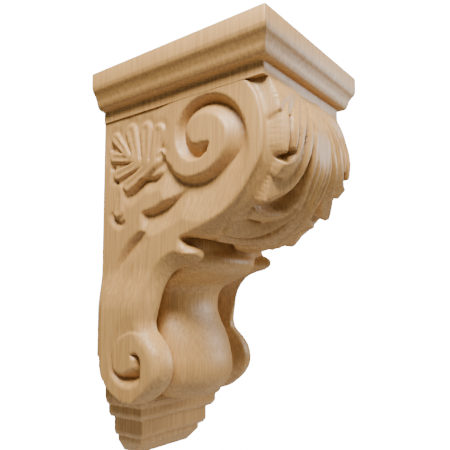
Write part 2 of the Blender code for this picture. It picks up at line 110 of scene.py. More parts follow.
# Foot, as half width, depth and drop
FOOT_RUNS = [
    ("straight", [(58.0, 48.0, 288.0), (58.0, 48.0, 302.4)]),
    ("curve", [(57.9, 47.9, 303.2), (56.6, 46.6, 307.2), (53.9, 43.9, 310.2)]),
    ("straight", [(53.5, 43.2, 310.9), (53.5, 43.0, 311.6), (53.5, 43.0, 316.4)]),
    ("curve", [(53.3, 42.8, 317.4), (51.5, 41.0, 320.6), (47.3, 37.0, 322.8)]),
    ("straight", [(46.4, 36.4, 323.3), (46.2, 36.2, 324.0), (46.2, 36.2, 334.9)]),
    ("curve", [(46.0, 36.0, 335.8), (44.8, 34.6, 338.2), (42.3, 31.4, 340.1)]),
    ("straight", [(41.4, 30.2, 340.8), (41.2, 30.0, 341.4), (41.2, 30.0, 344.8), (40.9, 29.6, 345.4),
                  (33.9, 21.5, 355.4), (33.2, 20.8, 356.0)]),
]
FOOT_CORNER = 1.3

# Front edge of the side scrolls, from the fillet over the drum and down to the foot: depth,
# drop, half width, width of the worked edge that leads to the side face, and how far that edge
# is a flat bevel (1) or round (0)
FRONT_EDGE = [(161, 38, 63, 3, 0), (168.5, 47.5, 63, 3, 0), (174.5, 56, 63, 3, 0),
              (178.8, 68, 63, 3, 0), (181, 82, 63, 3, 0), (181, 95, 63, 3, 0), (178, 109, 63, 3, 0),
              (170, 122, 63, 3, 0), (161, 134, 63, 3, 0), (147, 146, 63, 3, 0),
              (127, 155, 63, 3, 0), (110, 160, 62.5, 3, 0), (96.5, 165, 61.5, 4, 0),
              (99.5, 168.5, 58, 8, 0), (107, 171.5, 54, 11, 0.2), (112.5, 175, 51.5, 12, 0.5),
              (113, 180, 52, 12.5, 0.8), (106, 184, 54, 13, 1), (94, 186.6, 55, 13.5, 1),
              (84, 190.3, 55, 13.5, 1), (77.5, 195.8, 55, 13.5, 1), (72.5, 202.5, 55, 13, 1),
              (69, 210, 55, 13, 0.9), (66.5, 218, 55, 13, 0.7), (64, 226, 55, 13, 0.5),
              (62.3, 233.5, 55, 13, 0.3), (63.2, 240.5, 54.5, 12, 0.1), (69, 246.8, 54, 11, 0),
              (74.2, 252.5, 54, 10.5, 0), (78.8, 259.5, 54, 11, 0), (81.6, 269, 54, 11.5, 0),
              (79.8, 281, 54, 10.5, 0), (73.5, 290, 54, 9, 0), (63.7, 297.6, 54, 6, 0),
              (53, 303.3, 54, 3, 0), (43, 306, 54, 1, 0)]
EDGE_STEP = 0.5                  # between the points that it is measured by
EDGE_SKIP = 4                    # every fourth of them is enough to find the nearest place
EDGE_TURN = 1.5                  # reach to each side over which its direction is read
EDGE_ROWS = (0.1, 0.3, 0.6, 1.0)  # lines of points on the worked edge, as shares of its width

# Large scroll: its eye, then along the turn, in degrees from the front, the outer edge of the
# inner turn, the inner edge of the outer turn, where the groove between is deepest (as a share
# of its width) and how deep it is there
LARGE_EYE = (120.0, 84.0)
LARGE_TURN = [(-225, 44.0, 52.0, 0.40, 0.0), (-180, 41.0, 50.0, 0.35, 3.0),
              (-135, 35.4, 60.0, 0.18, 7.5), (-90, 28.6, 68.0, 0.13, 9.5),
              (-45, 26.3, 58.0, 0.20, 9.5), (0, 26.0, 46.3, 0.60, 10.0),
              (45, 23.1, 40.6, 0.66, 9.5), (90, 22.0, 36.8, 0.66, 9.0),
              (135, 19.7, 33.0, 0.64, 8.0), (180, 9.5, 27.0, 0.60, 7.5),
              (225, 3.0, 21.0, 0.70, 8.5), (270, 1.5, 15.0, 0.75, 9.5), (315, 4.0, 11.0, 0.70, 9.0),
              (340, 8.4, 9.6, 0.50, 2.0)]

# Small scroll, in the same way
SMALL_EYE = (50.0, 268.0)
SMALL_TURN = [(60, 23.5, 38.0, 0.05, 0.0), (87, 24.9, 40.0, 0.06, 1.6),
              (114, 25.0, 40.0, 0.06, 1.8), (150, 25.8, 38.0, 0.12, 1.2),
              (181, 24.9, 30.0, 0.35, 1.8), (202, 23.0, 29.5, 0.50, 3.5),
              (211, 20.0, 28.2, 0.50, 5.0), (224, 14.0, 26.8, 0.50, 7.0),
              (237, 8.2, 25.4, 0.50, 8.5), (250, 6.5, 23.4, 0.50, 9.5),
              (276, 5.5, 20.7, 0.45, 10.5), (298, 4.6, 18.6, 0.45, 11.0),
              (317, 3.0, 12.9, 0.50, 11.5), (336, 1.6, 10.5, 0.60, 12.0),
              (360, 1.2, 9.6, 0.60, 12.0), (390, 2.0, 9.1, 0.60, 12.0), (441, 3.5, 7.5, 0.50, 9.0),
              (478, 6.3, 7.1, 0.50, 1.0)]

# Disc of the small scroll, whose round lower edge stands over the foot
SMALL_DISC_CENTRE = (46.5, 266.0)
SMALL_DISC_BACK = 42.0           # reach towards the wall
SMALL_DISC_FRONT = 60.0          # reach to the front, past the front edge
SMALL_DISC_RADIUS = 37.5         # reach downward
SMALL_DISC_WALL = 2.6            # run of the wall at its edge
SMALL_DISC_ARC = (182.0, 276.0, 2.5)  # that edge in degrees: first, last and step

# Stop cuts: the side of the crisp edge that falls (1 to its right, -1 to its left), how far the
# floor runs before it is level again, then the edge's depth and drop with the depth of the cut
# and the width of its sloping wall
STOP_CUTS = [
    (1, 20.0, [(50.8, 136.0, 5.5, 2.4), (59.6, 135.5, 7.5, 3.6), (72.3, 132.2, 8.0, 4.2),
               (87.1, 125.7, 8.0, 4.6), (100.0, 116.0, 8.0, 5.0)]),
    (-1, 14.0, [(58.7, 152.2, 0.8, 1.2), (46.6, 154.7, 5.0, 3.6), (35.9, 161.1, 6.0, 4.4),
                (26.3, 170.8, 5.4, 4.4), (19.3, 181.9, 3.8, 4.2), (14.5, 196.0, 1.6, 4.0),
                (12.5, 212.0, 0.0, 4.0)]),
    (-1, 12.0, [(82.0, 95.3, 4.0, 2.2), (73.0, 104.6, 5.0, 2.2), (63.0, 106.6, 5.0, 2.2),
                (53.0, 106.0, 4.5, 2.2), (44.0, 111.5, 4.5, 2.2), (37.0, 116.0, 4.0, 2.2),
                (28.3, 118.6, 2.0, 2.0)]),
    (1, 6.0, [(11.5, 131.0, 1.0, 1.0), (16.5, 137.8, 3.6, 1.8), (24.3, 142.4, 3.6, 1.8),
              (28.5, 139.5, 1.0, 1.0)]),
]
CUT_STEP = 2.0                   # between the points that a cut is measured by
CUT_END = 1.2                    # how many of them its ends fade over

# Side sprig: petals as depth and drop of the root, depth and drop of the tip, and the radius at
# the root and at the tip
SPRIG = [(46.0, 90, 37.0, 60.0, 4.5, 8.0), (57.0, 92, 56.0, 62.5, 5.0, 8.2),
         (67.0, 92.0, 72.5, 67.5, 5.0, 7.6), (33.0, 81.0, 16.0, 62.5, 3.8, 6.0),
         (40.0, 86.5, 14.5, 81.0, 4.4, 5.6), (49.3, 92.5, 19.5, 98.8, 4.6, 5.8),
         (66.0, 95.5, 33.5, 110.5, 6.0, 6.4), (24.0, 112.0, 21.2, 132.5, 4.0, 7.2),
         (71.0, 93.5, 76.0, 88.0, 5.0, 5.0)]
SPRIG_GROUND = 1.0               # how far the ground sinks beside the petals
SPRIG_SPREAD = 7.0               # how far that sunk ground reaches
PETAL_RISE = 2.0                 # height of a petal's rim over the field
PETAL_FOLD = 1.3                 # how far its middle sinks below the rim
PETAL_RIM = 0.55                 # where the rim is, as a share of the petal's half width
PETAL_SIDE = 0.85                # a line of points between the rim and the outline
PETAL_FOLD_RUN = 0.5             # share of its length over which the fold deepens
SPRIG_EYES = [(11.0, 71.5), (12.5, 90.5), (17.5, 104.5)]  # depth and drop of its small eyes
SPRIG_EYE_RADIUS = 2.6
SPRIG_EYE_DEPTH = 4.0

# Trunk between the small scrolls: depth of its crest, drop, half width, depth of its round
TRUNK = [(98, 148, 57, 12), (103, 156, 57, 12), (106, 162, 57, 12), (107.5, 168, 56, 13),
         (109, 172.5, 53, 19), (113, 178, 48, 26), (113.5, 182.5, 46.5, 28), (111, 186, 45.5, 29),
         (106.5, 189.7, 44.5, 30), (97.5, 193.5, 44, 30), (87, 197.3, 44, 30), (79, 201.3, 44, 31),
         (74.5, 206.5, 44, 32), (72.5, 214.5, 44, 33), (73, 223, 44, 34), (77, 233, 44, 35),
         (81.8, 241.5, 44.5, 36), (86.5, 251, 45, 38), (89, 261, 45.5, 38), (91, 271, 46, 39),
         (91, 280, 45, 39), (88, 289.5, 42, 37), (82, 296.5, 37, 34), (75, 301, 31, 30),
         (66, 304.2, 24, 26), (54, 306, 16, 20)]
TRUNK_BACK = 26.0                # depth of its back, inside the body
TRUNK_STEP = 1.6                 # between its sections
TRUNK_FACETS = 48                # around the front of a section
VALLEY = 18.0                    # how deep the ground sinks between the scrolls and the trunk
VALLEY_SLOPE = 1.1               # its fall for each step inward
VALLEY_START = 168.0             # drop where it begins
VALLEY_START_RUN = 9.0
VALLEY_FOOT = 4.0                # length of the front edge at the foot that it leaves out
VALLEY_FOOT_RUN = 14.0

# Ground of the leaf: a bevel rises from the front edge to the floor of the pockets. Starts and
# ends are places along the front edge, and a run is the length that a rise or a fall takes
FLOOR_LIFT = 6.5
BEVEL_START = 40.0
BEVEL_START_RUN = 12.0
BEVEL_END = 178.0
BEVEL_END_RUN = 22.0
LEAF_START_RUN = 6.0
LEAF_END = 190.0
LEAF_END_RUN = 8.0
SHOULDER_LIFT = 13.0             # top of the leaf, under the cap
SHOULDER_END = 50.0
SHOULDER_END_RUN = 8.0
SHOULDER_SIDE_RUN = 4.0          # of its slope to the front edge

# Leaf blades along their crests: across, along, lift, then how far each blade reaches to its
# upper side and how much it falls there, and the same for its lower side
BLADES = [
    [(20, 20, 15, 12, 3, 12, 2), (52, 34, 15, 14, 3, 8, 2), (60, 43, 13, 10, 3, 3, 2)],
    [(40, 26, 14, 6, 2, 5, 2), (53, 44, 16, 7, 7, 5, 3), (55, 56, 17, 6, 9, 5, 3),
     (55.5, 70.5, 17, 5, 8, 4, 3)],
    [(24, 24, 15, 6, 2, 5, 2), (37, 42, 17, 5, 3, 5, 3), (43, 56, 18, 5, 3, 5, 3),
     (44.5, 67, 17.5, 4, 3, 4, 3)],
    [(20, 30, 16, 5, 3, 5, 3), (32, 52, 18.5, 4, 2, 6, 4), (44, 73.5, 17.5, 1.5, 1, 10, 4),
     (57.5, 78.0, 16, 1, 1, 7, 3)],
    [(15, 40, 17, 5, 3, 5, 3), (24, 66, 19, 5, 3, 6, 4), (33, 83.5, 17.5, 6, 4, 9, 5),
     (43, 94, 16.0, 12, 6.5, 8, 5), (57, 105.5, 15.0, 22, 9.5, 1.5, 1)],
    [(10, 50, 18, 4, 2, 4, 3), (14, 80, 19, 4, 2, 5, 3), (11, 96, 17.5, 5, 2, 5, 3),
     (8, 103, 15.5, 5, 3, 4, 3)],
    [(13, 92, 15, 4, 2, 5, 3), (22, 108, 14.5, 3, 2, 7, 4), (34, 112.5, 13.5, 2, 1, 8, 4),
     (50, 115.0, 10.0, 1.5, 1, 7, 2)],
    [(8, 96, 16, 4, 2, 5, 3), (17, 116, 15.5, 5, 3, 6, 4), (26, 126, 15.0, 7, 5, 8, 5),
     (36, 134, 13.5, 11, 6.5, 7, 4), (54, 140.0, 11.5, 18, 8, 3.0, 1.5)],
    [(5, 100, 17, 4, 2, 4, 3), (11, 128, 16.5, 4, 2, 5, 3), (22, 144, 13.0, 5, 3, 6, 4),
     (44, 157, 8.0, 7, 2, 5, 2)],
    [(3, 108, 18, 4, 2, 4, 3), (7, 140, 15.5, 4, 2, 4, 3), (14, 160, 11.0, 5, 3, 5, 3)],
    [(0, 28, 16, 5, 1.5, 5, 1.5), (0, 60, 19.5, 4.5, 2, 4.5, 2), (0, 110, 19.5, 4, 2.5, 4, 2.5),
     (0, 150, 15, 4, 2, 4, 2), (0, 178, 7, 5, 3, 5, 3)],
    [(7, 28, 16, 4, 1.5, 4, 1.5), (7, 60, 19.5, 4, 2, 4, 2), (6, 92, 19, 3, 2, 3, 2),
     (4, 112, 17, 3, 2, 3, 2)],
]
BLADE_WALL = 1.8                 # run of the steep side below a blade's edge
BLADE_END = 3.0                  # run of the wall past a blade's last point
BLADE_STEP = 1.4                 # between points along a blade's crest
BLADE_TAIL = 8                   # how many such steps its line is carried on past its end
BLADE_SWELL = 0.24               # how much further the lower blades stand off the drum
BELLY_START = 78.0               # where these lower blades start and end along the front edge
BELLY_START_RUN = 26.0
BELLY_END = 174.0
BELLY_END_RUN = 30.0
BELLY_SIDE = 60.0                # and where they end across it
BELLY_SIDE_RUN = 24.0
UPPER_MARGIN = 2.5               # bare bevel between the front edge and the upper blades
LOWER_MARGIN = 7.0               # and beside the lower ones
MARGIN_START = 64.0              # where it begins to widen
MARGIN_START_RUN = 14.0
MARGIN_WALL = 1.5                # run of the wall from the bevel up to the blades
MARGIN_ROWS = (-1.3, 0.0, MARGIN_WALL)  # lines of points before, at and on top of that wall

# Wood: its colours, with a painted shade for its recesses, and for each mask the range of the
# value that is read for it and the range that this is spread to
DEEP_GROUND = (0.54, 0.305, 0.098, 1.0)
PALE_GROUND = (0.60, 0.35, 0.117, 1.0)
LATE_WOOD = (0.46, 0.24, 0.07, 1.0)
FIBRE_DARK = (0.36, 0.18, 0.055, 1.0)
# painted shade: the colour that recesses and creases are darkened to, where shade falls
PAINTED_RECESS_SHADE = (0.20, 0.085, 0.025, 1.0)
PATCH_SPREAD = (0.35, 0.65, 0.0, 1.0)
LATE_SPREAD = (0.0, 1.0, 0.0, 0.42)
FIBRE_SPREAD = (0.38, 0.62, 0.0, 0.55)
PAINTED_SHADE_SPREAD = (0.2, 0.85, 0.36, 0.0)
ROUGH_SPREAD = (0.3, 0.7, 0.42, 0.55)
PAINTED_SHADE_REACH = 0.011             # metres within which other wood paints shade on a place
PAINTED_SHADE_SAMPLES = 8
PATCH_SCALE = 7.0                # pale and deep patches in a metre
BUMP_HEIGHT = 0.0002             # metres
BUMP_STRENGTH = 0.25
LATE_SINKS = -0.35               # late wood in the bump, where the fibres count 1

# Growth rings and fibres of the wood, in metres
RING_SPACING = 0.0052
RING_WAVER = 0.007
WAVER_SCALE = (9.0, 9.0, 2.2)    # bends of the rings in a metre, across and up the wood
HEART_ASIDE = 0.11               # the heart of the tree, to the right of the block
HEART_BEHIND = 0.07              # and behind it
HEART_LEAN = 0.10                # its step to the left for each step up
LATE_POWER = 2.6                 # how slowly late wood darkens within a ring
RING_EDGE = 12.0                 # how quickly it ends
FIBRE_FINENESS = 560.0           # streaks in a metre across the wood
FIBRE_SQUEEZE = 0.025            # streaks up the wood for each one across it

# Studio, in metres and watts. A lamp is its direction from the corbel, distance, size, power
# and colour
KEY_LAMP = ((-0.62, -0.50, 1.0), 0.86, 0.36, 19.0, (1.0, 0.97, 0.92))
FILL_LAMP = ((0.72, -0.72, 0.30), 1.3, 0.7, 15.5, (0.93, 0.95, 1.0))
WHITE = (1.0, 1.0, 1.0, 1.0)
WHITE_STRENGTH = 20.0            # of the white seen behind the corbel
ROOM_COLOUR = (1.0, 0.96, 0.90, 1.0)
ROOM_SPREAD = (-0.4, 0.8, 0.02, 0.27)  # how the room's light grows from low to high
FLOOR_LEVEL = -0.48
FLOOR_RADIUS = 0.85
FLOOR_THICKNESS = 0.01
FLOOR_SIDES = 96
FLOOR_COLOUR = (0.62, 0.62, 0.62, 1.0)
FLOOR_ROUGHNESS = 0.9

# The camera, found from the edges of the cap and the foot: place, heading from +Y to +X, tilt
# and roll in degrees, focal length in pixels of a 450 pixel frame, and upward shift
CAMERA_PLACE = (-0.3834, -0.3850, -0.2199 + 0.178)
CAMERA_HEADING = 52.97
CAMERA_TILT = 5.92
CAMERA_ROLL = -0.18
CAMERA_FOCAL = 518.9
FRAME_PIXELS = 450.0
CAMERA_SHIFT = 0.06
SENSOR_WIDTH = 36.0


def smooth(t):
    t = np.clip(t, 0.0, 1.0)
    return t * t * (3.0 - 2.0 * t)


def table(rows, keys, column):
    """Read a column of a table at any key, as a smooth curve through its rows."""
    rows = np.asarray(rows, float)
    key, value = rows[:, 0], rows[:, column]
    slope = np.gradient(value, key)
    at = np.clip(keys, key[0], key[-1])
    i = np.clip(np.searchsorted(key, at, side="right") - 1, 0, len(key) - 2)
    span = key[i + 1] - key[i]
    t = (at - key[i]) / span
    rise = (2 * t**3 - 3 * t**2 + 1) * value[i] + (3 * t**2 - 2 * t**3) * value[i + 1]
    return rise + span * ((t**3 - 2 * t**2 + t) * slope[i] + (t**3 - t**2) * slope[i + 1])


def spline(points, step):
    """A smooth curve through the points, read at about even steps."""
    points = np.asarray(points, float)
    reach = np.linalg.norm(np.diff(points[:, :2], axis=0), axis=1)
    along = np.concatenate([[0.0], np.cumsum(reach)])
    keyed = np.column_stack([along, points])
    at = np.linspace(0.0, along[-1], max(2, int(round(along[-1] / step)) + 1))
    return np.column_stack([table(keyed, at, column) for column in range(1, keyed.shape[1])])


def edge_table():
    """The front edge keyed by the distance along it."""
    fine = spline(FRONT_EDGE, EDGE_STEP)
    reach = np.linalg.norm(np.diff(fine[:, :2], axis=0), axis=1)
    along = np.concatenate([[0.0], np.cumsum(reach)])
    return np.column_stack([along, fine])


EDGE = edge_table()
EDGE_LENGTH = EDGE[-1, 0]


def edge_at(along):
    """Depth, drop, half width, worked width, flatness and outward direction of the front edge."""
    values = [np.interp(along, EDGE[:, 0], EDGE[:, column]) for column in range(1, 6)]
    ahead = [np.interp(along + EDGE_TURN, EDGE[:, 0], EDGE[:, column]) for column in (1, 2)]
    behind = [np.interp(along - EDGE_TURN, EDGE[:, 0], EDGE[:, column]) for column in (1, 2)]
    run, fall = ahead[0] - behind[0], ahead[1] - behind[1]
    length = np.hypot(run, fall)
    return (*values, fall / length, -run / length)


def to_path(depth, drop, path):
    """Distance to a path, the side it is on (positive on its right) and the nearest place on it."""
    path = np.asarray(path, float)
    start, step = path[:-1, :2], np.diff(path[:, :2], axis=0)
    x = depth[:, None] - start[:, 0]
    y = drop[:, None] - start[:, 1]
    share = np.clip((x * step[:, 0] + y * step[:, 1]) / (step**2).sum(axis=1), 0.0, 1.0)
    off_x, off_y = x - share * step[:, 0], y - share * step[:, 1]
    distance = np.hypot(off_x, off_y)
    nearest = distance.argmin(axis=1)
    pick = np.arange(len(depth))
    side = step[nearest, 0] * off_y[pick, nearest] - step[nearest, 1] * off_x[pick, nearest]
    return distance[pick, nearest], np.sign(side), nearest + share[pick, nearest]


def groove(share, deepest):
    """A cut that falls to its deepest place and rises again, across shares from 0 to 1."""
    fall = np.clip(share / deepest, 0.0, 1.0)
    rise = np.clip((1.0 - share) / (1.0 - deepest), 0.0, 1.0)
    return np.where((share > 0) & (share < 1), np.minimum(fall, rise), 0.0)


def scroll_cut(depth, drop, eye, turn):
    """Depth of a scroll's groove."""
    out = depth - eye[0]
    up = eye[1] - drop
    radius = np.hypot(out, up)
    angle = np.degrees(np.arctan2(up, out))
    cut = np.zeros_like(depth)
    for winding in (-360.0, 0.0, 360.0):
        at = angle + winding
        inner, outer = table(turn, at, 1), table(turn, at, 2)
        share = (radius - inner) / (outer - inner)
        here = groove(share, table(turn, at, 3)) * table(turn, at, 4)
        inside = (at >= turn[0][0]) & (at <= turn[-1][0])
        cut = np.maximum(cut, np.where(inside, here, 0.0))
    return cut


def stop_cut(depth, drop, side, run, path):
    """A sloping wall on one side of a path and a long floor back up beyond it."""
    path = spline(path, CUT_STEP)
    distance, turn, place = to_path(depth, drop, path)
    deep, wall = (np.interp(place, np.arange(len(path)), path[:, column]) for column in (2, 3))
    share = np.where(turn * side > 0, distance, 0.0) / (wall + run)
    ends = smooth(place / CUT_END) * smooth((len(path) - 1 - place) / CUT_END)
    return groove(share, wall / (wall + run)) * deep * ends


def sprig_relief(depth, drop):
    """Height of the side sprig over the field: folded petals in sunk ground, with small eyes."""
    height = np.full_like(depth, -SPRIG_GROUND)
    outside = np.full_like(depth, np.inf)
    for root_depth, root_drop, tip_depth, tip_drop, root_radius, tip_radius in SPRIG:
        distance, _, place = to_path(depth, drop, [(root_depth, root_drop), (tip_depth, tip_drop)])
        radius = root_radius + (tip_radius - root_radius) * place
        across = distance / radius
        fold = PETAL_FOLD * smooth(1.0 - across / PETAL_RIM) * smooth(place / PETAL_FOLD_RUN)
        edge = np.clip((across - PETAL_RIM) / (1.0 - PETAL_RIM), 0.0, 1.0)
        petal = (PETAL_RISE + SPRIG_GROUND) * np.sqrt(1.0 - edge**2) - SPRIG_GROUND - fold
        height = np.maximum(height, np.where(across < 1.0, petal, -SPRIG_GROUND))
        outside = np.minimum(outside, distance - radius)
    height = height * np.where(outside < 0, 1.0, 1.0 - smooth(outside / SPRIG_SPREAD))
    for eye_depth, eye_drop in SPRIG_EYES:
        to_eye = np.hypot(depth - eye_depth, drop - eye_drop) / SPRIG_EYE_RADIUS
        height = height - SPRIG_EYE_DEPTH * np.sqrt(np.clip(1.0 - to_eye**2, 0.0, 1.0))
    return height


def side_face(depth, drop):
    """Half the body's width at a place on its side."""
    depth, drop = np.asarray(depth, float), np.asarray(drop, float)
    forward, below = depth - LARGE_EYE[0], drop - LARGE_EYE[1]
    to_eye = np.hypot(np.where(forward > 0, BAND_FORWARD, 1.0) * forward,
                      np.where(below > 0, BAND_BELOW, 1.0) * below)
    face = FIELD + (BAND - FIELD) * smooth((BAND_REACH - to_eye) / BAND_FADE)
    swell = smooth((drop - SWELL_START) / (SWELL_END - SWELL_START))
    back = np.sqrt(np.clip(depth / BACK_RUN, 0.0, 1.0))
    face += (EYE_FACE - FIELD) * swell * (BACK_SHARE + (1.0 - BACK_SHARE) * back)
    large = scroll_cut(depth, drop, LARGE_EYE, LARGE_TURN)
    small = scroll_cut(depth, drop, SMALL_EYE, SMALL_TURN)
    stops = [stop_cut(depth, drop, *cut) for cut in STOP_CUTS]
    face -= np.maximum.reduce([large, small] + stops)
    face += sprig_relief(depth, drop)
    # the small scroll ends in a round edge that stands over the foot
    disc_depth, disc_drop = SMALL_DISC_CENTRE
    axis = np.where(depth < disc_depth, SMALL_DISC_BACK, SMALL_DISC_FRONT)
    reach = np.hypot((depth - disc_depth) / axis, (drop - disc_drop) / SMALL_DISC_RADIUS)
    beyond = (reach - 1.0) * SMALL_DISC_RADIUS / SMALL_DISC_WALL
    face -= (face - UNDER_SCROLL) * np.clip(np.where(drop > disc_drop, beyond, 0.0), 0.0, 1.0)
    # the front edge is rounded, or bevelled as far as its flatness says
    coarse = EDGE[::EDGE_SKIP]
    distance, _, place = to_path(depth, drop, coarse[:, 1:3])
    along = np.interp(place, np.arange(len(coarse)), coarse[:, 0])
    half_width, radius, flatness = edge_at(along)[2:5]
    share = np.clip(distance / radius, 0.0, 1.0)
    rounded = np.sqrt(np.clip(1.0 - (1.0 - share)**2, 0.0, 1.0))
    bend = flatness * share + (1.0 - flatness) * rounded
    return half_width + (face - half_width) * bend


def blade_lift(across, along, blade):
    """Lift of one blade of the leaf: a crest with a slope to each side that ends in a wall."""
    path = spline(blade, BLADE_STEP)
    tail = path[-1].copy()
    tail[:2] += BLADE_TAIL * (path[-1, :2] - path[-2, :2])
    step = np.linalg.norm(path[-1, :2] - path[-2, :2])
    distance, side, place = to_path(across, along, np.vstack([path, tail]))
    past = np.clip(place - (len(path) - 1), 0.0, 1.0) * BLADE_TAIL * step
    count = np.arange(len(path))
    crest, up_reach, up_fall, low_reach, low_fall = (
        np.interp(place, count, path[:, column]) for column in range(2, 7))
    reach = np.where(side < 0, up_reach, low_reach)
    fall = np.where(side < 0, up_fall, low_fall)
    slope = np.clip(distance / reach, 0.0, 1.0) * fall
    wall = np.clip((distance - reach) / BLADE_WALL, 0.0, 1.0)
    return (crest - slope) * (1.0 - wall) * np.clip(1.0 - past / BLADE_END, 0.0, 1.0)


def bare_margin(along):
    """Width of the bare bevel beside the blades."""
    widened = smooth((along - MARGIN_START) / MARGIN_START_RUN)
    return UPPER_MARGIN + (LOWER_MARGIN - UPPER_MARGIN) * widened


def leaf_lift(across, along):
    """Height of the acanthus leaf over the drum."""
    fade = smooth((along - BEVEL_START) / BEVEL_START_RUN)
    fade = fade * smooth((BEVEL_END - along) / BEVEL_END_RUN)
    inward = np.clip(edge_at(along)[2] - across, 0.0, None)
    floor = np.minimum(inward, FLOOR_LIFT) * fade
    shoulder = SHOULDER_LIFT * smooth((SHOULDER_END - along) / SHOULDER_END_RUN)
    shoulder = shoulder * smooth(inward / SHOULDER_SIDE_RUN)
    lift = np.maximum(floor, shoulder)
    kept = np.clip((inward - bare_margin(along)) / MARGIN_WALL, 0.0, 1.0)
    swell = BLADE_SWELL * smooth((along - BELLY_START) / BELLY_START_RUN)
    swell = swell * smooth((BELLY_END - along) / BELLY_END_RUN)
    swell = swell * smooth((BELLY_SIDE - across) / BELLY_SIDE_RUN)
    for blade in BLADES:
        lift = np.maximum(lift, blade_lift(across, along, blade) * kept * (1.0 + swell))
    return lift * smooth(along / LEAF_START_RUN) * smooth((LEAF_END - along) / LEAF_END_RUN)


def valley(across, along):
    """How far the ground behind the trunk sinks between the lower scrolls."""
    drop, half_width = edge_at(along)[1:3]
    deepest = VALLEY * smooth((drop - VALLEY_START) / VALLEY_START_RUN)
    deepest = deepest * smooth((EDGE_LENGTH - VALLEY_FOOT - along) / VALLEY_FOOT_RUN)
    return np.minimum(VALLEY_SLOPE * np.clip(half_width - across, 0.0, None), deepest)


def scroll_rows(eye, turn, shares):
    """Places along a scroll's groove, one row for each share of its width."""
    first, last = turn[0][0], turn[-1][0]
    rows = []
    for share in shares:
        row = []
        angle = first
        while angle <= last:
            at = np.array([angle])
            inner, outer, deepest = (float(table(turn, at, column)[0]) for column in (1, 2, 3))
            where = deepest if share is None else share
            radius = inner + (outer - inner) * where
            turned = math.radians(angle)
            row.append((eye[0] + radius * math.cos(turned), eye[1] - radius * math.sin(turned)))
            angle += math.degrees(ROW_STEP / max(radius, LEAST_RADIUS))
        rows.append(row)
    return rows


def cut_rows(side, path):
    """The crisp edge of a stop cut and the foot of its wall."""
    row = spline(path, ROW_STEP)
    along = np.gradient(row[:, :2], axis=0)
    along /= np.linalg.norm(along, axis=1)[:, None]
    across = side * row[:, 3:] * np.column_stack([-along[:, 1], along[:, 0]])
    return [row[:, :2], row[:, :2] + across]


def petal_rows(root_depth, root_drop, tip_depth, tip_drop, root_radius, tip_radius):
    """The fold, the rim, the side and the outline of a petal."""
    root = np.array((root_depth, root_drop), float)
    tip = np.array((tip_depth, tip_drop), float)
    length = np.linalg.norm(tip - root)
    out = (tip - root) / length
    side = np.array([-out[1], out[0]])
    share = np.linspace(0.0, 1.0, int(round(length / ROW_STEP)) + 1)[:, None]
    rows = [root + (tip - root) * share]
    for rim in (PETAL_RIM, PETAL_SIDE, 1.0):
        width = (root_radius + (tip_radius - root_radius) * share) * rim
        steps = max(3, int(round(math.pi * tip_radius * rim / ROW_STEP)))
        turned = np.linspace(0.0, math.pi, steps + 1)[1:-1, None]
        end = tip + tip_radius * rim * (side * np.cos(turned) + out * np.sin(turned))
        rows.append(np.vstack([rows[0] + side * width, end, (rows[0] - side * width)[::-1]]))
    return rows


def blade_rows(blade):
    """The edges of a blade of the leaf and its crest, if that is off the middle."""
    path = spline(blade, ROW_STEP)
    along = np.gradient(path[:, :2], axis=0)
    along /= np.linalg.norm(along, axis=1)[:, None]
    across = np.column_stack([along[:, 1], -along[:, 0]])
    rows = [path[:, :2] + across * path[:, 3:4], path[:, :2] - across * path[:, 5:6]]
    return rows + [path[:, :2]] if blade[0][0] > 0 else rows


def triangulate(boundary, rows, grid, clearance):
    """Triangles over the inside of a boundary, with edges along the rows."""
    boundary = np.asarray(boundary, float)
    points = [tuple(point) for point in boundary]
    edges = [(i, (i + 1) % len(points)) for i in range(len(points))]
    closed = np.vstack([boundary, boundary[:1]])
    for row in rows:
        row = np.asarray(row, float)
        distance, side, _ = to_path(row[:, 0], row[:, 1], closed)
        last = None
        for point, kept in zip(row, (side > 0) & (distance > clearance)):
            if kept:
                points.append(tuple(point))
                if last is not None:
                    edges.append((last, len(points) - 1))
            last = len(points) - 1 if kept else None
    low, high = boundary.min(axis=0), boundary.max(axis=0)
    filler = np.array([(x + (j % 2) * grid / 2, y)
                       for j, y in enumerate(np.arange(low[1], high[1], grid * GRID_ROW))
                       for x in np.arange(low[0], high[0], grid)])
    distance, side, _ = to_path(filler[:, 0], filler[:, 1], closed)
    filler = filler[(side > 0) & (distance > grid * RIM_GAP)]
    fixed = kdtree.KDTree(len(points))
    for index, point in enumerate(points):
        fixed.insert((*point, 0.0), index)
    fixed.balance()
    points += [tuple(point) for point in filler
               if fixed.find((*point, 0.0))[2] > grid * ROW_GAP]
    corners = [Vector(point) for point in points]
    # kind 1 keeps the triangles inside the boundary
    out, _, faces, _, _, _ = delaunay_2d_cdt(corners, edges, [], 1, FLAT_WELD)
    return np.array([(point.x, point.y) for point in out]), faces


def front_places():
    """Even places along the front edge, shared by the side and the front."""
    return np.linspace(0.0, EDGE_LENGTH, int(round(EDGE_LENGTH / ROW_STEP)) + 1)


def evenly(first, last, step):
    """Even places from first up to, but not including, last."""
    return np.linspace(first, last, max(2, int(round(abs(last - first) / step)) + 1))[:-1]


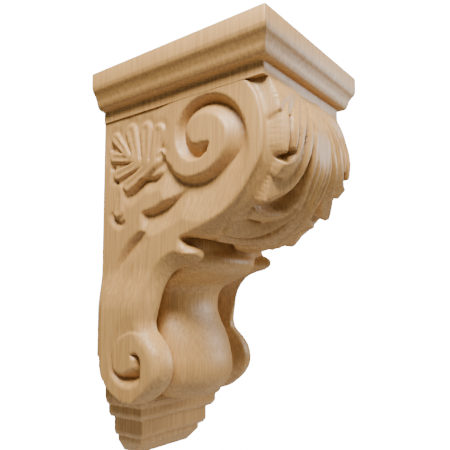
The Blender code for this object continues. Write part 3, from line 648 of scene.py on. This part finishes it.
def side_sheet():
    """The side of the body, back from its front edge: points and faces."""
    along = front_places()
    depth, drop, half_width, radius, _, out, down = edge_at(along)
    first_drop, last_drop = FRONT_EDGE[0][1], FRONT_EDGE[-1][1]
    top = [(x, first_drop) for x in evenly(0.0, depth[0], SIDE_GRID)]
    foot = [(x, last_drop) for x in evenly(depth[-1], 0.0, SIDE_GRID)][1:]
    back = [(0.0, y) for y in evenly(last_drop, first_drop, SIDE_GRID)]
    boundary = top + list(zip(depth, drop)) + foot + back
    rows = scroll_rows(LARGE_EYE, LARGE_TURN, (0.0, None, 1.0))
    rows += scroll_rows(SMALL_EYE, SMALL_TURN, (0.0, None, 1.0))
    for side, _, path in STOP_CUTS:
        rows += cut_rows(side, path)
    for petal in SPRIG:
        rows += petal_rows(*petal)
    turned = np.radians(np.arange(*SMALL_DISC_ARC))
    for gap in (0.0, SMALL_DISC_WALL):
        rows.append(np.column_stack([
            SMALL_DISC_CENTRE[0] + (SMALL_DISC_BACK + gap) * np.cos(turned),
            SMALL_DISC_CENTRE[1] - (SMALL_DISC_RADIUS + gap) * np.sin(turned)]))
    for share in EDGE_ROWS:
        rows.append(np.column_stack([depth - out * radius * share, drop - down * radius * share]))
    flat, faces = triangulate(boundary, rows, SIDE_GRID, SIDE_CLEARANCE)
    width = side_face(flat[:, 0], flat[:, 1])
    for edge_half, edge_depth, edge_drop in zip(half_width, depth, drop):
        shared = np.hypot(flat[:, 0] - edge_depth, flat[:, 1] - edge_drop).argmin()
        width[shared] = edge_half
    return np.column_stack([width, flat]), faces


def front_sheet():
    """Half of the body's front, from the middle plane to its edge: points and faces."""
    along = front_places()
    half_width = edge_at(along)[2]
    across_top = [(x, 0.0) for x in evenly(half_width[0], 0.0, FRONT_GRID)][1:]
    middle = [(0.0, s) for s in evenly(0.0, EDGE_LENGTH, FRONT_GRID)]
    across_foot = [(x, EDGE_LENGTH) for x in evenly(0.0, half_width[-1], FRONT_GRID)]
    edge = [(x, s) for x, s in zip(half_width, along)][::-1]
    boundary = (across_top + middle + across_foot + edge)[::-1]
    rows = []
    for blade in BLADES:
        rows += blade_rows(blade)
    for beyond in MARGIN_ROWS:
        rows.append(np.column_stack([half_width - bare_margin(along) - beyond, along]))
    flat, faces = triangulate(boundary, rows, FRONT_GRID, FRONT_CLEARANCE)
    across, at = flat[:, 0], flat[:, 1]
    depth, drop, _, _, _, out, down = edge_at(at)
    lift = leaf_lift(across, at)
    front = np.minimum(depth + out * lift, FRONT) - valley(across, at)
    return np.column_stack([across, front, drop + down * lift]), faces


def place(points):
    """Corbel places (half width, depth, drop) in metres, in the frame."""
    points = np.asarray(points, float)
    return np.column_stack([points[:, 0], -points[:, 1], TOP - points[:, 2]]) * MM


def new_object(name, mesh_builder):
    mesh = bpy.data.meshes.new(name)
    mesh_builder.to_mesh(mesh)
    mesh_builder.free()
    thing = bpy.data.objects.new(name, mesh)
    bpy.context.scene.collection.objects.link(thing)
    return thing


def add_sheet(builder, points, faces):
    corners = [builder.verts.new(point) for point in place(points)]
    for face in faces:
        if len(set(face)) > 2:
            builder.faces.new([corners[i] for i in face])


def ease(builder):
    """Round the carving's edges a little, but not its rim."""
    inner = [vert for vert in builder.verts if not vert.is_boundary]
    for _ in range(EASE_ROUNDS):
        bmesh.ops.smooth_vert(builder, verts=inner, factor=EASE_SHARE,
                              use_axis_x=True, use_axis_y=True, use_axis_z=True)


def close_flat(builder, axis, level):
    """Fill the flat opening whose border lies at a level on an axis, up to the middle plane."""
    border = [edge for edge in builder.edges if edge.is_boundary
              and all(abs(vert.co[axis] - level) < WELD for vert in edge.verts)]
    ends = {}
    for edge in border:
        for vert in edge.verts:
            ends[vert] = ends.get(vert, 0) + 1
    middle = []
    for vert in [vert for vert, count in ends.items() if count == 1]:
        if abs(vert.co.x) > MIDDLE_WELD:
            corner = builder.verts.new((0.0, vert.co.y, vert.co.z))
            border.append(builder.edges.new((vert, corner)))
            middle.append(corner)
        else:
            middle.append(vert)
    border.append(builder.edges.new(middle))
    bmesh.ops.holes_fill(builder, edges=border, sides=0)


def body_object():
    """The body with its scrolls and leaf, made as one half and mirrored."""
    builder = bmesh.new()
    add_sheet(builder, *side_sheet())
    add_sheet(builder, *front_sheet())
    bmesh.ops.remove_doubles(builder, verts=builder.verts, dist=WELD)
    ease(builder)
    close_flat(builder, 2, (TOP - FRONT_EDGE[0][1]) * MM)
    close_flat(builder, 2, (TOP - FRONT_EDGE[-1][1]) * MM)
    close_flat(builder, 1, 0.0)
    bmesh.ops.remove_doubles(builder, verts=builder.verts, dist=WELD)
    bmesh.ops.recalc_face_normals(builder, faces=builder.faces)
    body = new_object("carving", builder)
    mirror = body.modifiers.new("other half", "MIRROR")
    mirror.merge_threshold = MIRROR_WELD
    return body


def loft_object(name, sections):
    """A closed solid through sections that have the same number of points."""
    builder = bmesh.new()
    rings = [[builder.verts.new(point) for point in place(section)] for section in sections]
    count = len(rings[0])
    for upper, lower in zip(rings, rings[1:]):
        for i in range(count):
            j = (i + 1) % count
            builder.faces.new((upper[i], upper[j], lower[j], lower[i]))
    builder.faces.new(rings[0])
    builder.faces.new(rings[-1])
    bmesh.ops.recalc_face_normals(builder, faces=builder.faces)
    return new_object(name, builder)


def profile(runs):
    """A moulding's profile from its straight runs and curves."""
    points = []
    for shape, run in runs:
        run = spline(run, MOULDING_STEP) if shape == "curve" else run
        points += [tuple(point) for point in run]
    return points


def box_section(half_width, depth, drop, corner):
    """A rectangle against the wall with its two front corners rounded."""
    section = [(-half_width, 0.0, drop)]
    last = CORNER_POINTS - 1
    for side in (-1, 1):
        for k in range(CORNER_POINTS):
            turned = math.radians(90.0 / last * (k if side < 0 else last - k))
            section.append((side * (half_width - corner * (1 - math.cos(turned))),
                            depth - corner * (1 - math.sin(turned)), drop))
    return section + [(half_width, 0.0, drop)]


def cap_sections():
    sections = []
    for inset, drop in profile(CAP_RUNS):
        depth = CAP_DEPTH - inset * FRONT_INSET_SHARE
        sections.append(box_section(CAP_HALF_WIDTH - inset, depth, drop, CAP_CORNER))
    return sections


def foot_sections():
    return [box_section(half_width, depth, drop, FOOT_CORNER)
            for half_width, depth, drop in profile(FOOT_RUNS)]


def trunk_sections():
    sections = []
    for crest, drop, half_width, rounded in spline(TRUNK, TRUNK_STEP):
        ring = [(half_width, TRUNK_BACK, drop)]
        for k in range(TRUNK_FACETS + 1):
            turned = math.pi * k / TRUNK_FACETS
            depth = crest - rounded + rounded * math.sin(turned)
            ring.append((half_width * math.cos(turned), depth, drop))
        ring.append((-half_width, TRUNK_BACK, drop))
        sections.append(ring)
    return sections


def join(body, other):
    """Add a closed solid to the body."""
    union = body.modifiers.new("with " + other.name, "BOOLEAN")
    union.operation = "UNION"
    union.solver = "MANIFOLD"
    union.object = other


def carved_corbel():
    """The whole carving as one mesh."""
    corbel = body_object()
    others = [loft_object("trunk", trunk_sections()), loft_object("cap", cap_sections()),
              loft_object("foot", foot_sections())]
    for other in others:
        join(corbel, other)
    joined = corbel.evaluated_get(bpy.context.evaluated_depsgraph_get())
    solid = bpy.data.meshes.new_from_object(joined)
    solid.name = "carved corbel"
    for used in others + [corbel]:
        bpy.data.objects.remove(used, do_unlink=True)
    piece = bpy.data.objects.new("carved_corbel", solid)
    bpy.context.scene.collection.objects.link(piece)
    solid.shade_smooth()
    solid.set_sharp_from_angle(angle=math.radians(SHARP_ANGLE))
    return piece


def link_all(tree, links):
    for source, target in links:
        tree.links.new(source, target)


def math_node(tree, operation, first, second=None):
    node = tree.nodes.new("ShaderNodeMath")
    node.operation = operation
    for socket, value in zip(node.inputs, (first, second)):
        if value is None:
            continue
        if isinstance(value, (int, float)):
            socket.default_value = value
        else:
            tree.links.new(value, socket)
    return node.outputs[0]


def ring_group():
    """Growth rings of a tree cut by the carved surface, as a value that is high in late wood."""
    tree = bpy.data.node_groups.new("growth rings", "ShaderNodeTree")
    tree.interface.new_socket("Spacing", in_out="INPUT", socket_type="NodeSocketFloat")
    tree.interface.new_socket("Waver", in_out="INPUT", socket_type="NodeSocketFloat")
    tree.interface.new_socket("Rings", in_out="OUTPUT", socket_type="NodeSocketFloat")
    tree.interface.new_socket("Position", in_out="OUTPUT", socket_type="NodeSocketVector")
    enter = tree.nodes.new("NodeGroupInput")
    leave = tree.nodes.new("NodeGroupOutput")
    where = tree.nodes.new("ShaderNodeTexCoord")
    stretch = tree.nodes.new("ShaderNodeMapping")
    stretch.inputs["Scale"].default_value = WAVER_SCALE
    bend = tree.nodes.new("ShaderNodeTexNoise")
    bend.inputs["Scale"].default_value = 1.0
    bend.inputs["Detail"].default_value = 2.0
    link_all(tree, [(where.outputs["Object"], stretch.inputs["Vector"]),
                    (stretch.outputs[0], bend.inputs["Vector"])])
    # the heart of the tree runs upright, behind and to one side of the block, leaning a little
    parts = tree.nodes.new("ShaderNodeSeparateXYZ")
    tree.links.new(where.outputs["Object"], parts.inputs[0])
    lean = math_node(tree, "MULTIPLY", parts.outputs["Z"], HEART_LEAN)
    x = math_node(tree, "ADD", math_node(tree, "ADD", parts.outputs["X"], -HEART_ASIDE), lean)
    y = math_node(tree, "ADD", parts.outputs["Y"], -HEART_BEHIND)
    square = math_node(tree, "ADD", math_node(tree, "POWER", x, 2.0),
                       math_node(tree, "POWER", y, 2.0))
    radius = math_node(tree, "SQRT", square)
    # the noise runs from 0 to 1, and the waver from -1 to 1 times its size
    centred = math_node(tree, "SUBTRACT", bend.outputs[0], 0.5)
    waver = math_node(tree, "MULTIPLY", centred, enter.outputs["Waver"])
    wavy = math_node(tree, "ADD", radius, math_node(tree, "MULTIPLY", waver, 2.0))
    part = math_node(tree, "FRACT", math_node(tree, "DIVIDE", wavy, enter.outputs["Spacing"]))
    late = math_node(tree, "POWER", part, LATE_POWER)
    edge = math_node(tree, "MULTIPLY", math_node(tree, "SUBTRACT", 1.0, part), RING_EDGE)
    rings = math_node(tree, "MINIMUM", late, edge)
    link_all(tree, [(rings, leave.inputs["Rings"]),
                    (where.outputs["Object"], leave.inputs["Position"])])
    return tree


def fibre_group():
    """Fine upright fibres: streaks that are long up the wood and thin across it."""
    tree = bpy.data.node_groups.new("upright fibres", "ShaderNodeTree")
    tree.interface.new_socket("Position", in_out="INPUT", socket_type="NodeSocketVector")
    tree.interface.new_socket("Fineness", in_out="INPUT", socket_type="NodeSocketFloat")
    tree.interface.new_socket("Fibres", in_out="OUTPUT", socket_type="NodeSocketFloat")
    enter = tree.nodes.new("NodeGroupInput")
    leave = tree.nodes.new("NodeGroupOutput")
    squeeze = tree.nodes.new("ShaderNodeVectorMath")
    squeeze.operation = "MULTIPLY"
    squeeze.inputs[1].default_value = (1.0, 1.0, FIBRE_SQUEEZE)
    streaks = tree.nodes.new("ShaderNodeTexNoise")
    streaks.inputs["Detail"].default_value = 3.0
    streaks.inputs["Roughness"].default_value = 0.6
    link_all(tree, [(enter.outputs["Position"], squeeze.inputs[0]),
                    (squeeze.outputs[0], streaks.inputs["Vector"]),
                    (enter.outputs["Fineness"], streaks.inputs["Scale"]),
                    (streaks.outputs[0], leave.inputs["Fibres"])])
    return tree


def colour_mix(tree, mask, first, second):
    node = tree.nodes.new("ShaderNodeMix")
    node.data_type = "RGBA"
    for socket, value in ((node.inputs[0], mask), (node.inputs[6], first), (node.inputs[7], second)):
        if isinstance(value, tuple):
            socket.default_value = value
        else:
            tree.links.new(value, socket)
    return node.outputs[2]


def spread(tree, value, low, high, to_low, to_high):
    """Map a value's range onto another."""
    node = tree.nodes.new("ShaderNodeMapRange")
    node.inputs[1].default_value = low
    node.inputs[2].default_value = high
    node.inputs[3].default_value = to_low
    node.inputs[4].default_value = to_high
    tree.links.new(value, node.inputs[0])
    return node.outputs[0]


def carved_wood():
    material = bpy.data.materials.new("carved wood")
    material.use_nodes = True
    tree = material.node_tree
    shader = tree.nodes["Principled BSDF"]
    rings = tree.nodes.new("ShaderNodeGroup")
    rings.node_tree = ring_group()
    rings.inputs["Spacing"].default_value = RING_SPACING
    rings.inputs["Waver"].default_value = RING_WAVER
    fibres = tree.nodes.new("ShaderNodeGroup")
    fibres.node_tree = fibre_group()
    fibres.inputs["Fineness"].default_value = FIBRE_FINENESS
    tree.links.new(rings.outputs["Position"], fibres.inputs["Position"])
    patches = tree.nodes.new("ShaderNodeTexNoise")
    patches.inputs["Scale"].default_value = PATCH_SCALE
    patches.inputs["Detail"].default_value = 2.0
    tree.links.new(rings.outputs["Position"], patches.inputs["Vector"])
    pale = spread(tree, patches.outputs[0], *PATCH_SPREAD)
    late = spread(tree, rings.outputs["Rings"], *LATE_SPREAD)
    dark = spread(tree, fibres.outputs["Fibres"], *FIBRE_SPREAD)
    # painted shade: ambient occlusion darkens the colour in recesses and creases, where shade falls
    painted_shade_probe = tree.nodes.new("ShaderNodeAmbientOcclusion")
    painted_shade_probe.samples = PAINTED_SHADE_SAMPLES
    painted_shade_probe.inputs["Distance"].default_value = PAINTED_SHADE_REACH
    deep = spread(tree, painted_shade_probe.outputs["AO"], *PAINTED_SHADE_SPREAD)
    wood = colour_mix(tree, pale, DEEP_GROUND, PALE_GROUND)
    # late wood and fibres are the wood's own colour; the last mix is painted shade
    for mask, colour in ((late, LATE_WOOD), (dark, FIBRE_DARK), (deep, PAINTED_RECESS_SHADE)):
        wood = colour_mix(tree, mask, wood, colour)
    height = math_node(tree, "ADD", fibres.outputs["Fibres"],
                       math_node(tree, "MULTIPLY", rings.outputs["Rings"], LATE_SINKS))
    bump = tree.nodes.new("ShaderNodeBump")
    bump.inputs["Strength"].default_value = BUMP_STRENGTH
    bump.inputs["Distance"].default_value = BUMP_HEIGHT
    rough = spread(tree, fibres.outputs["Fibres"], *ROUGH_SPREAD)
    link_all(tree, [(wood, shader.inputs["Base Color"]), (height, bump.inputs["Height"]),
                    (bump.outputs[0], shader.inputs["Normal"]),
                    (rough, shader.inputs["Roughness"])])
    return material


def pale_floor():
    material = bpy.data.materials.new("pale floor")
    material.use_nodes = True
    shader = material.node_tree.nodes["Principled BSDF"]
    shader.inputs["Base Color"].default_value = FLOOR_COLOUR
    shader.inputs["Roughness"].default_value = FLOOR_ROUGHNESS
    bpy.ops.mesh.primitive_cylinder_add(vertices=FLOOR_SIDES, radius=FLOOR_RADIUS,
                                        depth=FLOOR_THICKNESS, location=(0.0, 0.0, FLOOR_LEVEL))
    floor = bpy.context.object
    floor.name = "floor"
    floor.data.materials.append(material)


def soft_light(name, direction, distance, size, power, colour):
    """A square lamp that faces the corbel from a direction."""
    lamp = bpy.data.lights.new(name, "AREA")
    lamp.size = size
    lamp.energy = power
    lamp.color = colour
    holder = bpy.data.objects.new(name, lamp)
    bpy.context.scene.collection.objects.link(holder)
    toward = Vector(direction).normalized()
    holder.location = toward * distance
    holder.rotation_euler = (-toward).to_track_quat("-Z", "Y").to_euler()


def studio_world():
    """White behind the corbel, and a dimmer light on it that comes from above."""
    world = bpy.data.worlds.new("studio")
    bpy.context.scene.world = world
    world.use_nodes = True
    tree = world.node_tree
    seen = tree.nodes["Background"]
    seen.inputs["Color"].default_value = WHITE
    seen.inputs["Strength"].default_value = WHITE_STRENGTH
    lit = tree.nodes.new("ShaderNodeBackground")
    lit.inputs["Color"].default_value = ROOM_COLOUR
    where = tree.nodes.new("ShaderNodeTexCoord")
    height = tree.nodes.new("ShaderNodeSeparateXYZ")
    tree.links.new(where.outputs["Generated"], height.inputs[0])
    strength = spread(tree, height.outputs["Z"], *ROOM_SPREAD)
    tree.links.new(strength, lit.inputs["Strength"])
    path = tree.nodes.new("ShaderNodeLightPath")
    pick = tree.nodes.new("ShaderNodeMixShader")
    link_all(tree, [(path.outputs["Is Camera Ray"], pick.inputs[0]),
                    (lit.outputs[0], pick.inputs[1]), (seen.outputs[0], pick.inputs[2]),
                    (pick.outputs[0], tree.nodes["World Output"].inputs[0])])


def aim_camera():
    heading, tilt, roll = (math.radians(angle) for angle in (CAMERA_HEADING, CAMERA_TILT, CAMERA_ROLL))
    level = math.cos(tilt)
    ahead = Vector((math.sin(heading) * level, math.cos(heading) * level, math.sin(tilt)))
    right = Vector((math.cos(heading), -math.sin(heading), 0.0))
    up = right.cross(ahead)
    turned_right = right * math.cos(roll) + up * math.sin(roll)
    turned_up = up * math.cos(roll) - right * math.sin(roll)
    camera = bpy.data.cameras.new("camera")
    camera.sensor_width = SENSOR_WIDTH
    camera.lens = CAMERA_FOCAL / FRAME_PIXELS * SENSOR_WIDTH
    camera.shift_y = CAMERA_SHIFT
    holder = bpy.data.objects.new("camera", camera)
    bpy.context.scene.collection.objects.link(holder)
    axes = Matrix((turned_right, turned_up, -ahead)).transposed()
    holder.matrix_world = Matrix.Translation(CAMERA_PLACE) @ axes.to_4x4()
    bpy.context.scene.camera = holder


corbel = carved_corbel()
corbel.data.materials.clear()
corbel.data.materials.append(carved_wood())
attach(corbel, "root")
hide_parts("corbel")

pale_floor()
studio_world()
soft_light("key", *KEY_LAMP)
soft_light("front fill", *FILL_LAMP)
aim_camera()

bpy.context.view_layer.update()
